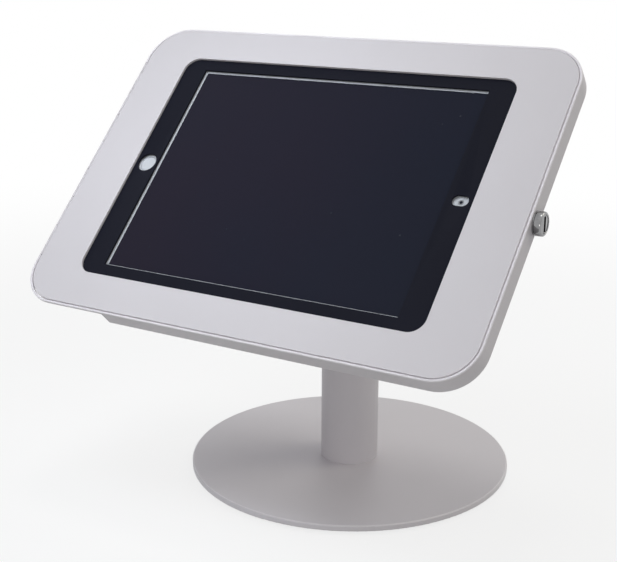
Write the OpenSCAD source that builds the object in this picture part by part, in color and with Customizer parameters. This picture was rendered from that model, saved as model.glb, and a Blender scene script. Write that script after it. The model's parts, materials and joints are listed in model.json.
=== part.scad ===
// Desk stand that locks a tablet in a tilted case on a bent tube and a round base.
// Millimetres, +Z up. The origin is the centre of the pad that the stand rests on.

/* [Tablet] */
// Length of the tablet
tablet_w = 240; // [210:0.5:280]
// Width of the tablet
tablet_h = 169.5; // [152:0.5:200]
// Thickness of the tablet
tablet_t = 7.5; // [7.2:0.1:10]
// Corner radius of the tablet
tablet_r = 11; // [8:0.5:14]
// Rounding of the tablet's back edge
tablet_back_r = 3; // [2:0.5:3]
// Border between the tablet's short ends and the display
bezel_end = 21.5; // [20.5:0.5:25]
// Border between the tablet's long sides and the display
bezel_side = 10.75; // [6:0.25:16]
// Thickness of the front glass
glass_t = 1; // [0.7:0.1:1.2]
// Metal edge left around the glass
shell_lip = 0.8; // [0.6:0.1:1.5]
// Home button and camera, inwards from the tablet's short ends
eye_inset = 12; // [11:0.5:13]
// Diameter of the home button
home_d = 10.6; // [9.5:0.1:11.5]
// Travel of the home button
home_travel = 0.5; // [0.3:0.1:0.6]
// Thickness of the home button's hidden flange
home_flange_t = 0.6; // [0.4:0.1:0.8]
// Width of the home button's hidden flange
home_flange_w = 0.6; // [0.4:0.1:1]
// Depth of the home button's dish
home_dish = 0.25; // [0.1:0.05:0.4]
// Flat rim around the dish
home_rim = 0.5; // [0.3:0.1:1.5]
// Diameter of the front camera
camera_d = 3.2; // [2:0.1:4]
// Length of the power button
power_len = 9.6; // [8:0.2:12]
// Length of the volume rocker
rocker_len = 18; // [14:1:22]
// Diameter of the round rib that the volume rocker tilts on
rocker_rib_d = 1.6; // [1.2:0.1:2]
// Height of the side buttons
side_button_h = 2; // [1.6:0.1:2.2]
// How far the side buttons stand out of the shell
side_button_out = 0.5; // [0.45:0.05:0.8]
// How far the side buttons reach into the shell
side_button_in = 1.2; // [1:0.1:1.5]
// Side buttons, below the underside of the glass
side_button_drop = 1.5; // [1.4:0.1:2]
// Power button, up the slope from the tablet's middle
power_v = -45; // [-50:1:50]
// Volume rocker, to the right of the tablet's middle
rocker_u = 70; // [-75:1:75]
// Width of the charging port
port_w = 9; // [7:0.1:10]
// Height of the charging port
port_h = 2.6; // [2:0.1:3]
// Depth of the charging port
port_depth = 7; // [5:0.5:8]

/* [Case] */
// Room from the tablet's short ends to the outside of the case
end_room = 31; // [28:0.5:45]
// Room from the tablet's long sides to the outside of the case
side_room = 22.75; // [20:0.25:40]
// Corner radius of the case
case_r = 25; // [18:1:30]
// Sheet thickness of the tray
sheet_t = 1.5; // [1.3:0.1:2]
// Outside radius of the bend between wall and back
back_bend_r = 3; // [2.5:0.5:4]
// Rounding of the rim's edges
rim_r = 0.5; // [0.2:0.1:0.6]
// Length of the cable notch, from the left end of the case
notch_w = 67; // [45:1:100]
// Depth of the cable notch, from the lower side of the case
notch_deep = 9; // [5:0.5:10]
// Strip of rim left over the notch
notch_lip = 1.5; // [1:0.5:4]
// Thickness of the blocks at the tablet's corners
block_t = 6; // [4:0.5:8]
// Length of a corner block's arms
block_arm = 28; // [20:1:32]
// Thickness of the foam strips behind the tablet
foam_t = 1.9; // [1.8:0.1:6]
// Width of the foam strips
foam_w = 24; // [12:1:30]
// Length of the foam strips
foam_len = 130; // [80:1:140]
// Spacing of the foam strips
foam_pitch = 150; // [120:1:170]

/* [Door] */
// Thickness of the faceplate
plate_t = 1.5; // [1.2:0.1:1.8]
// How far the faceplate stands proud of the rim
plate_proud = 0.3; // [0:0.1:0.6]
// Groove between the faceplate and the rim
groove_w = 0.4; // [0.4:0.1:1]
// Space between the faceplate and the wall that carries the hinge
hinge_room = 1; // [0.9:0.05:1.2]
// How far the faceplate covers the tablet's short ends
window_lap_end = 3.75; // [1:0.25:5]
// How far the faceplate covers the tablet's long sides
window_lap_side = 1.5; // [0.5:0.25:5]
// Corner radius of the window
window_r = 9.5; // [4:0.5:14]
// Thickness of the black mask
mask_t = 1.2; // [0.8:0.1:1.2]
// Space between the mask and the tablet's glass
mask_gap = 0.7; // [0.5:0.1:1.5]
// How far the mask reaches past the tablet
mask_over = 10; // [9:0.5:11]
// Space between the mask's opening and the display
mask_reveal = 1.2; // [0.6:0.1:2.4]
// How far the mask's opening is set to the left of the display
mask_shift = 0.3; // [0:0.1:0.5]
// Corner radius of the mask
mask_r = 12; // [4:1:20]
// Hole over the home button
home_hole_d = 13; // [12:0.5:15]
// Length of the oval hole over the camera
camera_slot_w = 10; // [8:0.5:14]
// Width of the oval hole over the camera
camera_slot_h = 7; // [5:0.5:8]
// Diameter of the studs that carry the mask
stud_d = 3; // [2.5:0.1:3.5]
// Diameter of the push nuts on the studs
nut_d = 7; // [6:0.5:8]
// Thickness of the push nuts
nut_t = 0.6; // [0.4:0.1:0.8]
// How far a stud stands past its nut
stud_past = 0.4; // [0.2:0.1:0.6]

/* [Hinge] */
// Length of the hinge
hinge_len = 154; // [110:1:160]
// Number of knuckles
knuckles = 7; // [5:2:9]
// Outer diameter of the knuckles
knuckle_d = 2; // [1.8:0.1:2.2]
// Diameter of the hinge pin
pin_d = 1; // [0.8:0.1:1.2]
// Thickness of the leaf on the door
door_leaf_t = 0.6; // [0.5:0.1:0.8]
// Reach of the door's leaf from the hinge axis
door_leaf_w = 12; // [8:0.5:14]
// Thickness of the leaf in the tray
tray_leaf_t = 0.6; // [0.5:0.1:0.6]
// Height of the leaf in the tray
tray_leaf_h = 8; // [7:0.5:8.5]
// Diameter of the rivets in the tray's leaf
rivet_d = 3; // [2.4:0.1:3.4]
// Head diameter of the rivets
rivet_head_d = 5.4; // [4.5:0.1:6]
// Head height of the rivets
rivet_head_h = 1; // [0.6:0.1:1.2]
// Outer rivets, inwards from the ends of the hinge
rivet_inset = 20; // [8:1:30]

/* [Lock] */
// Lock axis, up the slope from the middle of the case
lock_v = -4; // [-40:1:30]
// Diameter of the lock's head
lock_head_d = 13.5; // [12:0.5:15]
// How far the head stands out of the wall
lock_head_h = 5; // [4.5:0.5:7]
// Rounding of the head's edge
lock_head_edge = 1; // [0.5:0.1:1.5]
// Length of the lock's body inside the wall
lock_body_len = 10.5; // [9:0.5:13]
// Wall of the lock's body
lock_wall = 1; // [0.9:0.1:1.2]
// Diameter of the plug
lock_plug_d = 6.5; // [6:0.1:6.8]
// Diameter of the plug's wide face
plug_face_d = 10; // [9:0.1:10.5]
// Thickness of the plug's wide face
plug_face_t = 3.8; // [3.3:0.1:4.2]
// Width of the key slot in the plug's face
key_slot_w = 2; // [1.6:0.1:2.4]
// Height of the key slot in the plug's face
key_slot_h = 8; // [6:0.1:8.4]
// Depth of the key slot in the plug's face
key_slot_depth = 3; // [2:0.1:3.5]
// Width of the keyway behind the key slot
keyway_w = 1.3; // [1:0.1:1.6]
// Height of the keyway behind the key slot
keyway_h = 4.6; // [3.5:0.1:5]
// Depth of the keyway from the plug's face
keyway_depth = 9; // [6:0.5:10]
// How far the plug lies behind the face of the head
plug_recess = 0.2; // [0.1:0.1:0.5]
// Thickness of the clip that holds the lock
clip_t = 1.2; // [0.8:0.1:1.5]
// Depth of the clip's groove in the lock's body
clip_groove = 0.5; // [0.3:0.1:0.7]
// Width of the clip on either side of the lock's body
clip_side = 2; // [1.5:0.5:4]
// Width of the cam
cam_w = 5.4; // [5.2:0.1:5.6]
// Thickness of the cam
cam_t = 1.5; // [1.2:0.1:2]
// Square end of the plug that turns the cam
stub_w = 3; // [2.8:0.1:3.2]
// Thickness of the catch on the door
tab_t = 1.2; // [0.8:0.1:1.2]
// Width of the catch
tab_w = 11; // [8:0.5:16]
// Space between the catch and the tray's floor
tab_gap = 0.5; // [0.4:0.1:1]
// Length of the catch's flange on the door
tab_flange = 9; // [6:0.5:10]
// Thread diameter of the cam's screw
cam_screw_d = 2; // [1.6:0.1:2.2]
// How far the cam's screw reaches into the plug
cam_screw_grip = 4; // [3:0.5:4.5]
// Head diameter of the cam's screw
cam_screw_head_d = 5; // [4.5:0.1:5.4]
// Head height of the cam's screw
cam_screw_head_h = 1.4; // [1.2:0.1:1.6]
// Width of the slot in the cam's screw
screw_slot_w = 0.8; // [0.5:0.1:1]
// Depth of the slot in the cam's screw
screw_slot_depth = 0.7; // [0.4:0.1:0.9]

/* [Stand] */
// Angle of the case from level, in degrees
tilt = 45; // [35:1:60]
// Diameter of the round base plate
base_d = 212; // [180:1:260]
// Thickness of the base plate
base_t = 4; // [4:0.5:8]
// Rounding of the base plate's edges
base_edge_r = 0.8; // [0.3:0.1:1.5]
// Thickness of the anti-slip pad
pad_t = 1.5; // [1:0.5:4]
// Margin between the pad and the edge of the base plate
pad_margin = 5; // [2:1:20]
// Outer diameter of the post tube
post_d = 38; // [34:1:45]
// Wall of the post tube
post_wall = 4; // [2:0.5:5]
// Height of the bend's corner above the base plate
elbow_h = 128; // [100:1:170]
// Length of the neck from the bend's corner to the flange
neck_run = 84.5; // [65:0.5:120]
// Centre line radius of the bend
bend_r = 60; // [45:1:80]
// Height of the tapped plug in the foot of the post
plug_h = 14; // [10:1:30]
// Thread diameter of the base screws
base_screw_d = 5; // [4:0.5:6]
// Circle that the base screws lie on
base_screw_pcd = 15; // [14:0.5:16]
// How far a base screw reaches into the plug
base_screw_grip = 10; // [6:1:10]
// Width of the square flange behind the case
flange_w = 100; // [96:1:130]
// Thickness of the flange
flange_t = 5; // [4:0.5:8]
// Corner radius of the flange
flange_r = 8; // [4:1:12]
// Leg of the weld between tube and flange
weld_leg = 4; // [2:0.5:6]
// Spacing of the four flange screws
flange_pitch = 75; // [65:1:80]
// Thread diameter of the flange screws
flange_screw_d = 4; // [3:0.5:5]
// Head diameter of the flange screws
flange_screw_head_d = 7.6; // [7:0.2:10]
// Head height of the flange screws
flange_screw_head_h = 1.4; // [1.2:0.1:1.5]
// Width across the flats of the flange screws' sockets
flange_screw_hex = 2; // [1.5:0.1:2.5]

/* [Clearances] */
// Radial clearance of pieces that are fixed in holes
fit_gap = 0.1; // [0.05:0.01:0.15]
// Radial clearance of the hinge pin and the lock's plug
run_gap = 0.05; // [0.02:0.01:0.08]
// Clearance between pieces that move past each other
pass_gap = 0.3; // [0.25:0.05:0.4]
// Gap between neighbouring knuckles
knuckle_gap = 0.4; // [0.3:0.1:0.8]
// Space past the tip of a screw in a blind hole
tip_gap = 1; // [0.5:0.1:1.5]

/* [Hidden] */
$fn = 96;
eps = 1;

// Colours
coat = [0.83, 0.83, 0.85];
steel = [0.62, 0.63, 0.65];
chrome = [0.8, 0.81, 0.83];
black = [0.09, 0.1, 0.12];
rubber = [0.15, 0.15, 0.16];
foam = [0.24, 0.24, 0.26];
white = [0.93, 0.93, 0.94];
screen = [0.1, 0.1, 0.14];
alloy = [0.75, 0.76, 0.78];

// Stand heights
base_top = pad_t + base_t;
post_r = post_d / 2;
bore_r = post_r - post_wall;
elbow_z = base_top + elbow_h;
bend_tangent = bend_r * tan(tilt / 2);
screw_head_h = base_screw_d / 2;
// The straight neck is this much wider than the bend, so that it takes in the bend's end
seat_step = 0.02;

// The case around the tablet; z = 0 on its rim
case_w = tablet_w + 2 * end_room;
case_h = tablet_h + 2 * side_room;
plate_under = plate_proud - plate_t;
mask_under = plate_under - mask_t;
glass_z = mask_under - mask_gap;
tablet_back = glass_z - tablet_t;
floor_z = tablet_back - foam_t;
case_d = sheet_t - floor_z;
wall_x = case_w / 2 - sheet_t;

// The case's own frame: x across, y up the slope, z out of the front
neck_total = neck_run + flange_t + case_d;
case_y = -neck_total * sin(tilt);
case_z = elbow_z + neck_total * cos(tilt);

// Door
plate_w = case_w - 2 * sheet_t - groove_w - hinge_room;
plate_x = (hinge_room - groove_w) / 2;
plate_h = case_h - 2 * (sheet_t + groove_w);
plate_r = case_r - sheet_t - groove_w;
window_w = tablet_w - 2 * window_lap_end;
window_h = tablet_h - 2 * window_lap_side;
mask_w = tablet_w + 2 * mask_over;
mask_h = tablet_h + 2 * mask_over;
stud_out = mask_over / 2;
stud_places = [
  for (sx = [-1, 1], sy = [-1, 1]) [sx * (tablet_w / 2 + stud_out), sy * tablet_h / 4],
  for (sx = [-1, 1], sy = [-1, 1]) [sx * tablet_w / 4, sy * (tablet_h / 2 + stud_out)]
];
stud_end = mask_under - nut_t - stud_past;

// Tablet; the shell's edge lies a little below the glass
shell_drop = 0.2;
glass_under = glass_z - glass_t;
shell_top = glass_z - shell_drop;
display_w = tablet_w - 2 * bezel_end;
display_h = tablet_h - 2 * bezel_side;
home_x = eye_inset - tablet_w / 2;
camera_x = tablet_w / 2 - eye_inset;
home_flange_r = home_d / 2 + home_flange_w;
side_button_z = glass_under - side_button_drop;
power_pocket = side_button_in + side_button_out + pass_gap;
rocker_pocket = side_button_in + rocker_rib_d / 2 + run_gap;

// Hinge
knuckle_r = knuckle_d / 2;
axis_x = tray_leaf_t - wall_x - knuckle_r;
axis_z = plate_under - door_leaf_t + knuckle_r;
knuckle_pitch = hinge_len / knuckles;
knuckle_len = knuckle_pitch - knuckle_gap;
leaf_edge_x = axis_x + knuckle_r + pass_gap;
door_leaf_end = axis_x + door_leaf_w;
rim_cut_z = axis_z - knuckle_r - pass_gap;
rivet_z = rim_cut_z - tray_leaf_h / 2;
rivet_places = [for (i = [-1, 0, 1]) i * (hinge_len / 2 - rivet_inset)];

// Lock
key_angle = 90 - tilt;
lock_body_d = lock_plug_d + 2 * lock_wall;
foot_top = floor_z + tab_gap + tab_t;
lock_z = max(foot_top + pass_gap + cam_w / 2, floor_z + lock_body_d / 2 + pass_gap);
cam_reach = plate_under - 2 * pass_gap - lock_z;
plug_front = case_w / 2 + lock_head_h - plug_recess;
face_seat = plug_front - plug_face_t - 2 * run_gap;
cam_front = wall_x - lock_body_len;
cam_back = cam_front - cam_t;
clip_core = lock_body_d - 2 * clip_groove;
clip_w = lock_body_d + 2 * clip_side;
clip_top = plate_under - pass_gap;
clip_bottom = floor_z + back_bend_r - sheet_t + fit_gap;
tab_front = cam_back - cam_screw_head_h - pass_gap;
tab_v = lock_v + cam_w / 2 + 2 * pass_gap;
foot_tip = cam_back + cam_t / 2;

// Puts its children in the case's own frame
module in_case() {
  translate([0, case_y, case_z]) rotate([tilt, 0, 0]) children();
}

// Puts its children on the lock's axis, with z out of the wall and x up the slope
module on_lock(x) {
  translate([x, lock_v, lock_z]) rotate([90, 0, 90]) children();
}

// Rectangle with true round corners
module round_rect(w, h, r) {
  square([w - 2 * r, h], center = true);
  square([w, h - 2 * r], center = true);
  for (sx = [-1, 1], sy = [-1, 1]) translate([sx * (w / 2 - r), sy * (h / 2 - r)]) circle(r);
}

// Oval slot
module oval(w, h) {
  square([w - h, h], center = true);
  for (s = [-1, 1]) translate([s * (w - h) / 2, 0]) circle(h / 2);
}

// Carries a section around a rounded rectangle; the section's x runs outwards from the corner's centre
module around(w, h, r) {
  for (i = [0 : 3]) {
    along = i % 2 == 0 ? h - 2 * r : w - 2 * r;
    across = i % 2 == 0 ? w / 2 - r : h / 2 - r;
    rotate([0, 0, 90 * i]) {
      translate([across, along / 2, 0]) rotate_extrude(angle = 90) children();
      translate([across, along / 2, 0]) rotate([90, 0, 0]) linear_extrude(along) children();
    }
  }
}

// Round disc section with rounded edges, for a revolve
module disc_section(r, t, edge) {
  square([r - edge, t]);
  translate([0, edge]) square([r, t - 2 * edge]);
  for (y = [edge, t - edge]) translate([r - edge, y]) circle(edge);
}

// Quarter of a disc, or of a ring, that fills the lower right
module quarter(outer, inner = 0) {
  intersection() {
    difference() {
      circle(outer);
      if (inner > 0) circle(inner);
    }
    translate([0, -outer]) square(outer);
  }
}

module at_base_screws() {
  for (i = [0 : 2]) rotate([0, 0, 120 * i + 90]) translate([base_screw_pcd / 2, 0, 0]) children();
}

module at_flange_screws() {
  for (sx = [-1, 1], sy = [-1, 1]) translate([sx * flange_pitch / 2, sy * flange_pitch / 2, 0]) children();
}

// Stand

module base_pad() {
  color(rubber) cylinder(d = base_d - 2 * pad_margin, h = pad_t);
}

module base_plate() {
  color(coat) difference() {
    translate([0, 0, pad_t]) rotate_extrude() disc_section(base_d / 2, base_t, base_edge_r);
    at_base_screws() {
      translate([0, 0, pad_t - eps]) cylinder(d = base_screw_d + 2 * fit_gap, h = base_t + 2 * eps);
      translate([0, 0, pad_t - eps]) cylinder(r = base_screw_d + fit_gap, h = eps);
      translate([0, 0, pad_t])
        cylinder(r1 = base_screw_d + fit_gap, r2 = base_screw_d / 2 + fit_gap, h = screw_head_h);
    }
  }
}

module base_screws() {
  color(steel) at_base_screws() translate([0, 0, pad_t]) {
    cylinder(r1 = base_screw_d, r2 = base_screw_d / 2, h = screw_head_h);
    cylinder(d = base_screw_d, h = base_t + base_screw_grip);
  }
}

module post_plug() {
  color(steel) difference() {
    translate([0, 0, base_top]) cylinder(r = bore_r - fit_gap, h = plug_h);
    at_base_screws() translate([0, 0, base_top - eps])
      cylinder(d = base_screw_d + 2 * fit_gap, h = base_screw_grip + tip_gap + eps);
  }
}

// Round rod along the post, around the bend and up the neck
module bent_rod(r) {
  translate([0, 0, base_top]) linear_extrude(elbow_h - bend_tangent) circle(r);
  translate([0, -bend_r, elbow_z - bend_tangent]) rotate([90, 0, 90]) {
    rotate_extrude(angle = tilt) translate([bend_r, 0]) circle(r);
    rotate([0, 0, tilt]) translate([bend_r, -seat_step, 0]) rotate([-90, 0, 0])
      linear_extrude(neck_run - bend_tangent + seat_step) circle(r + seat_step);
  }
}

module post_tube() {
  color(coat) difference() {
    bent_rod(post_r);
    bent_rod(bore_r);
  }
}

module neck_weld() {
  color(coat) in_case() translate([0, 0, -case_d - flange_t])
    rotate_extrude() translate([post_r + seat_step, 0])
      polygon([[0, 0], [weld_leg, 0], [0, -weld_leg]]);
}

module neck_flange() {
  color(coat) in_case() translate([0, 0, -case_d - flange_t]) difference() {
    linear_extrude(flange_t) round_rect(flange_w, flange_w, flange_r);
    at_flange_screws() translate([0, 0, -eps])
      cylinder(d = flange_screw_d + 2 * fit_gap, h = flange_t + 2 * eps);
  }
}

// Case

module tray_section() {
  translate([0, -case_d]) square([case_r - back_bend_r, sheet_t]);
  translate([case_r - back_bend_r, back_bend_r - case_d]) quarter(back_bend_r, back_bend_r - sheet_t);
  translate([case_r - sheet_t, back_bend_r - case_d]) square([sheet_t, case_d - back_bend_r - rim_r]);
  translate([case_r - sheet_t + rim_r, -rim_r]) square([sheet_t - 2 * rim_r, rim_r]);
  for (x = [rim_r, sheet_t - rim_r]) translate([case_r - sheet_t + x, -rim_r]) circle(rim_r);
}

module tray() {
  color(coat) in_case() difference() {
    union() {
      around(case_w, case_h, case_r) tray_section();
      translate([0, 0, -case_d]) linear_extrude(sheet_t)
        square([case_w - 2 * case_r, case_h - 2 * case_r], center = true);
    }
    on_lock(wall_x - eps) cylinder(d = lock_body_d + 2 * fit_gap, h = sheet_t + 2 * eps);
    translate([-case_w / 2 - eps, -case_h / 2 - eps, -case_d - eps])
      cube([notch_w + eps, notch_deep + eps, case_d - notch_lip + eps]);
    at_flange_screws() translate([0, 0, -case_d - eps])
      cylinder(d = flange_screw_d + 2 * fit_gap, h = sheet_t + 2 * eps);
    translate([-case_w / 2 - eps, -hinge_len / 2 - pass_gap, rim_cut_z])
      cube([sheet_t + 2 * eps, hinge_len + 2 * pass_gap, eps - rim_cut_z]);
    at_rivets(-case_w / 2 - eps) cylinder(d = rivet_d + 2 * fit_gap, h = sheet_t + 2 * eps);
  }
}

module flange_screws() {
  hex_d = flange_screw_hex / cos(30);
  color(steel) in_case() at_flange_screws() difference() {
    union() {
      translate([0, 0, -case_d - flange_t]) cylinder(d = flange_screw_d, h = flange_t + sheet_t);
      translate([0, 0, floor_z]) cylinder(d = flange_screw_head_d, h = flange_screw_head_h);
    }
    translate([0, 0, floor_z + flange_screw_head_h / 2])
      cylinder(d = hex_d, h = flange_screw_head_h, $fn = 6);
  }
}

module foam_pads() {
  color(foam) in_case() for (s = [-1, 1]) translate([s * foam_pitch / 2, 0, floor_z])
    linear_extrude(foam_t) square([foam_w, foam_len], center = true);
}

module corner_blocks() {
  outer_w = tablet_w + 2 * block_t;
  outer_h = tablet_h + 2 * block_t;
  color(black) in_case() translate([0, 0, floor_z]) linear_extrude(mask_under - pass_gap - floor_z)
    difference() {
      round_rect(outer_w, outer_h, tablet_r + block_t);
      round_rect(tablet_w + 2 * pass_gap, tablet_h + 2 * pass_gap, tablet_r + pass_gap);
      square([outer_w - 2 * block_arm, outer_h + eps], center = true);
      square([outer_w + eps, outer_h - 2 * block_arm], center = true);
    }
}

// Hinge

// Every second knuckle along the hinge, from the given one
module at_knuckles(first) {
  for (i = [first : 2 : knuckles - 1])
    translate([axis_x, (i - knuckles / 2) * knuckle_pitch + knuckle_gap / 2, axis_z])
      rotate([-90, 0, 0]) children();
}

module knuckle() {
  cylinder(r = knuckle_r, h = knuckle_len);
}

module hinge_bore(gap) {
  translate([axis_x, -hinge_len / 2 - eps, axis_z]) rotate([-90, 0, 0])
    cylinder(d = pin_d + 2 * gap, h = hinge_len + 2 * eps);
}

// Puts its children at the rivets of the tray's leaf, with z to the right
module at_rivets(x) {
  for (y = rivet_places) translate([x, y, rivet_z]) rotate([90, 0, 90]) children();
}

module hinge_tray_leaf() {
  color(coat) in_case() difference() {
    union() {
      at_knuckles(0) {
        knuckle();
        translate([-wall_x - axis_x, 0, 0]) cube([tray_leaf_t, axis_z - rim_cut_z, knuckle_len]);
      }
      translate([-wall_x, -hinge_len / 2, rim_cut_z - tray_leaf_h])
        cube([tray_leaf_t, hinge_len, tray_leaf_h]);
    }
    hinge_bore(fit_gap / 4);
    at_rivets(-wall_x - eps) cylinder(d = rivet_d + 2 * fit_gap, h = tray_leaf_t + 2 * eps);
  }
}

module hinge_pin() {
  color(steel) in_case() translate([axis_x, -hinge_len / 2, axis_z]) rotate([-90, 0, 0])
    cylinder(d = pin_d, h = hinge_len);
}

module tray_rivets() {
  shank = sheet_t + tray_leaf_t;
  color(coat) in_case() at_rivets(-case_w / 2) {
    cylinder(d = rivet_d, h = shank);
    translate([0, 0, shank]) cylinder(d1 = rivet_head_d, d2 = rivet_d, h = rivet_head_h);
  }
}

module hinge_door_leaf() {
  color(coat) in_case() difference() {
    union() {
      at_knuckles(1) {
        knuckle();
        translate([0, axis_z - plate_under, 0])
          cube([leaf_edge_x - axis_x + eps, door_leaf_t, knuckle_len]);
      }
      translate([leaf_edge_x, -hinge_len / 2, plate_under - door_leaf_t])
        cube([door_leaf_end - leaf_edge_x, hinge_len, door_leaf_t]);
    }
    hinge_bore(run_gap);
  }
}

// Tablet

module tablet_section() {
  side_h = shell_top - tablet_back;
  translate([0, tablet_back]) square([tablet_r - tablet_back_r, side_h]);
  translate([0, tablet_back + tablet_back_r]) square([tablet_r, side_h - tablet_back_r]);
  translate([tablet_r - tablet_back_r, tablet_back + tablet_back_r]) quarter(tablet_back_r);
}

module home_pocket() {
  reach = home_flange_t + home_travel + 2 * pass_gap;
  translate([home_x, 0, glass_under - reach]) cylinder(r = home_flange_r + pass_gap, h = reach + eps);
}

module tablet_shell() {
  rim_w = shell_lip - fit_gap;
  pocket_h = side_button_h + 2 * pass_gap;
  pocket_z = side_button_z - pocket_h / 2;
  color(alloy) in_case() difference() {
    union() {
      around(tablet_w, tablet_h, tablet_r) tablet_section();
      translate([0, 0, tablet_back]) linear_extrude(shell_top - tablet_back)
        square([tablet_w - 2 * tablet_r, tablet_h - 2 * tablet_r], center = true);
    }
    translate([0, 0, glass_under]) linear_extrude(glass_t + eps)
      round_rect(tablet_w - 2 * rim_w, tablet_h - 2 * rim_w, tablet_r - rim_w);
    home_pocket();
    translate([-tablet_w / 2 - eps, 0, (tablet_back + shell_top) / 2]) rotate([90, 0, 90])
      linear_extrude(port_depth + eps) oval(port_w, port_h);
    translate([tablet_w / 2 - power_pocket, power_v - power_len / 2 - pass_gap, pocket_z])
      cube([power_pocket + eps, power_len + 2 * pass_gap, pocket_h]);
    translate([rocker_u - rocker_len / 2 - pass_gap, -tablet_h / 2 - eps, pocket_z])
      cube([rocker_len + 2 * pass_gap, rocker_pocket + eps, pocket_h]);
  }
}

module tablet_front() {
  color(white) in_case() translate([0, 0, glass_under]) linear_extrude(glass_t) difference() {
    round_rect(tablet_w - 2 * shell_lip, tablet_h - 2 * shell_lip, tablet_r - shell_lip);
    square([display_w + 2 * fit_gap, display_h + 2 * fit_gap], center = true);
    translate([home_x, 0]) circle(d = home_d + 2 * run_gap);
    translate([camera_x, 0]) circle(d = camera_d + 2 * fit_gap);
  }
}

module display_panel() {
  color(screen) in_case() translate([0, 0, glass_under])
    linear_extrude(glass_t) square([display_w, display_h], center = true);
}

module camera_lens() {
  color(black) in_case() translate([camera_x, 0, glass_under]) cylinder(d = camera_d, h = glass_t);
}

module home_button() {
  dish_r = (pow(home_d / 2 - home_rim, 2) + home_dish * home_dish) / (2 * home_dish);
  color(white) in_case() translate([home_x, 0, 0]) difference() {
    union() {
      translate([0, 0, glass_under - pass_gap]) cylinder(d = home_d, h = glass_t + pass_gap);
      translate([0, 0, glass_under - pass_gap - home_flange_t])
        cylinder(r = home_flange_r, h = home_flange_t);
    }
    translate([0, 0, glass_z + dish_r - home_dish]) sphere(r = dish_r);
  }
}

module power_button() {
  color(alloy) in_case() translate([tablet_w / 2 - side_button_in, power_v, side_button_z])
    rotate([90, 0, 90]) linear_extrude(side_button_in + side_button_out) oval(power_len, side_button_h);
}

module volume_rocker() {
  color(alloy) in_case() translate([rocker_u, -tablet_h / 2 + side_button_in, side_button_z]) {
    rotate([90, 0, 0]) linear_extrude(side_button_in + side_button_out) oval(rocker_len, side_button_h);
    cylinder(d = rocker_rib_d, h = side_button_h, center = true);
  }
}

// Door

module faceplate() {
  color(coat) in_case() translate([0, 0, plate_under]) linear_extrude(plate_t) difference() {
    translate([plate_x, 0]) round_rect(plate_w, plate_h, plate_r);
    round_rect(window_w, window_h, window_r);
  }
}

module bezel_mask() {
  color(black) in_case() translate([0, 0, mask_under]) linear_extrude(mask_t) difference() {
    round_rect(mask_w, mask_h, mask_r);
    translate([-mask_shift, 0])
      square([display_w + 2 * mask_reveal, display_h + 2 * mask_reveal], center = true);
    translate([home_x, 0]) circle(d = home_hole_d);
    translate([camera_x, 0]) oval(camera_slot_w, camera_slot_h);
    for (p = stud_places) translate(p) circle(d = stud_d + 2 * fit_gap);
  }
}

module mask_studs() {
  color(steel) in_case() for (p = stud_places) translate([p[0], p[1], stud_end])
    cylinder(d = stud_d, h = plate_under - stud_end);
}

module mask_nuts() {
  color(steel) in_case() for (p = stud_places) translate([p[0], p[1], mask_under - nut_t])
    difference() {
      cylinder(d = nut_d, h = nut_t);
      translate([0, 0, -eps]) cylinder(d = stud_d + 2 * fit_gap, h = nut_t + 2 * eps);
    }
}

module strike_tab() {
  color(steel) in_case() translate([tab_front - tab_t, tab_v, 0]) {
    translate([0, 0, plate_under - tab_t]) cube([tab_flange, tab_w, tab_t]);
    translate([0, 0, foot_top - tab_t]) cube([tab_t, tab_w, plate_under - foot_top + tab_t]);
    translate([0, 0, foot_top - tab_t]) cube([foot_tip - tab_front + tab_t, tab_w, tab_t]);
  }
}

// Lock

module lock_body() {
  head_r = lock_head_d / 2;
  side_h = lock_head_h - lock_head_edge;
  bore_len = lock_body_len + sheet_t + lock_head_h + 2 * eps;
  color(chrome) in_case() difference() {
    union() {
      on_lock(cam_front) cylinder(d = lock_body_d, h = lock_body_len + sheet_t);
      on_lock(case_w / 2) rotate_extrude() {
        square([head_r, side_h]);
        square([head_r - lock_head_edge, lock_head_h]);
        translate([head_r - lock_head_edge, side_h]) circle(lock_head_edge);
      }
    }
    on_lock(cam_front - eps) cylinder(d = lock_plug_d + 2 * run_gap, h = bore_len);
    on_lock(face_seat) cylinder(d = plug_face_d + 2 * run_gap, h = lock_head_h);
    for (s = [-1, 1]) on_lock(wall_x - clip_t - fit_gap)
      translate([s * (clip_core + lock_body_d) / 2, 0, (clip_t + fit_gap) / 2])
        cube([lock_body_d, lock_body_d + eps, clip_t + fit_gap], center = true);
  }
}

module lock_clip() {
  slot_w = clip_core + 2 * fit_gap;
  slot_top = lock_z + lock_body_d / 2 + fit_gap;
  color(steel) in_case() translate([wall_x - clip_t, lock_v, 0]) difference() {
    translate([0, -clip_w / 2, clip_bottom]) cube([clip_t, clip_w, clip_top - clip_bottom]);
    translate([-eps, -slot_w / 2, clip_bottom - eps])
      cube([clip_t + 2 * eps, slot_w, slot_top - clip_bottom + eps]);
  }
}

module lock_plug() {
  color(chrome) in_case() difference() {
    union() {
      on_lock(cam_front) cylinder(d = lock_plug_d, h = plug_front - cam_front);
      on_lock(plug_front - plug_face_t) cylinder(d = plug_face_d, h = plug_face_t);
      on_lock(cam_back) linear_extrude(cam_t + eps) square(stub_w, center = true);
    }
    on_lock(plug_front) rotate([0, 0, key_angle]) {
      cube([keyway_h, keyway_w, 2 * keyway_depth], center = true);
      cube([key_slot_h, key_slot_w, 2 * key_slot_depth], center = true);
    }
    on_lock(cam_back - eps)
      cylinder(d = cam_screw_d + 2 * fit_gap, h = cam_t + cam_screw_grip + tip_gap + eps);
  }
}

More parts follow.
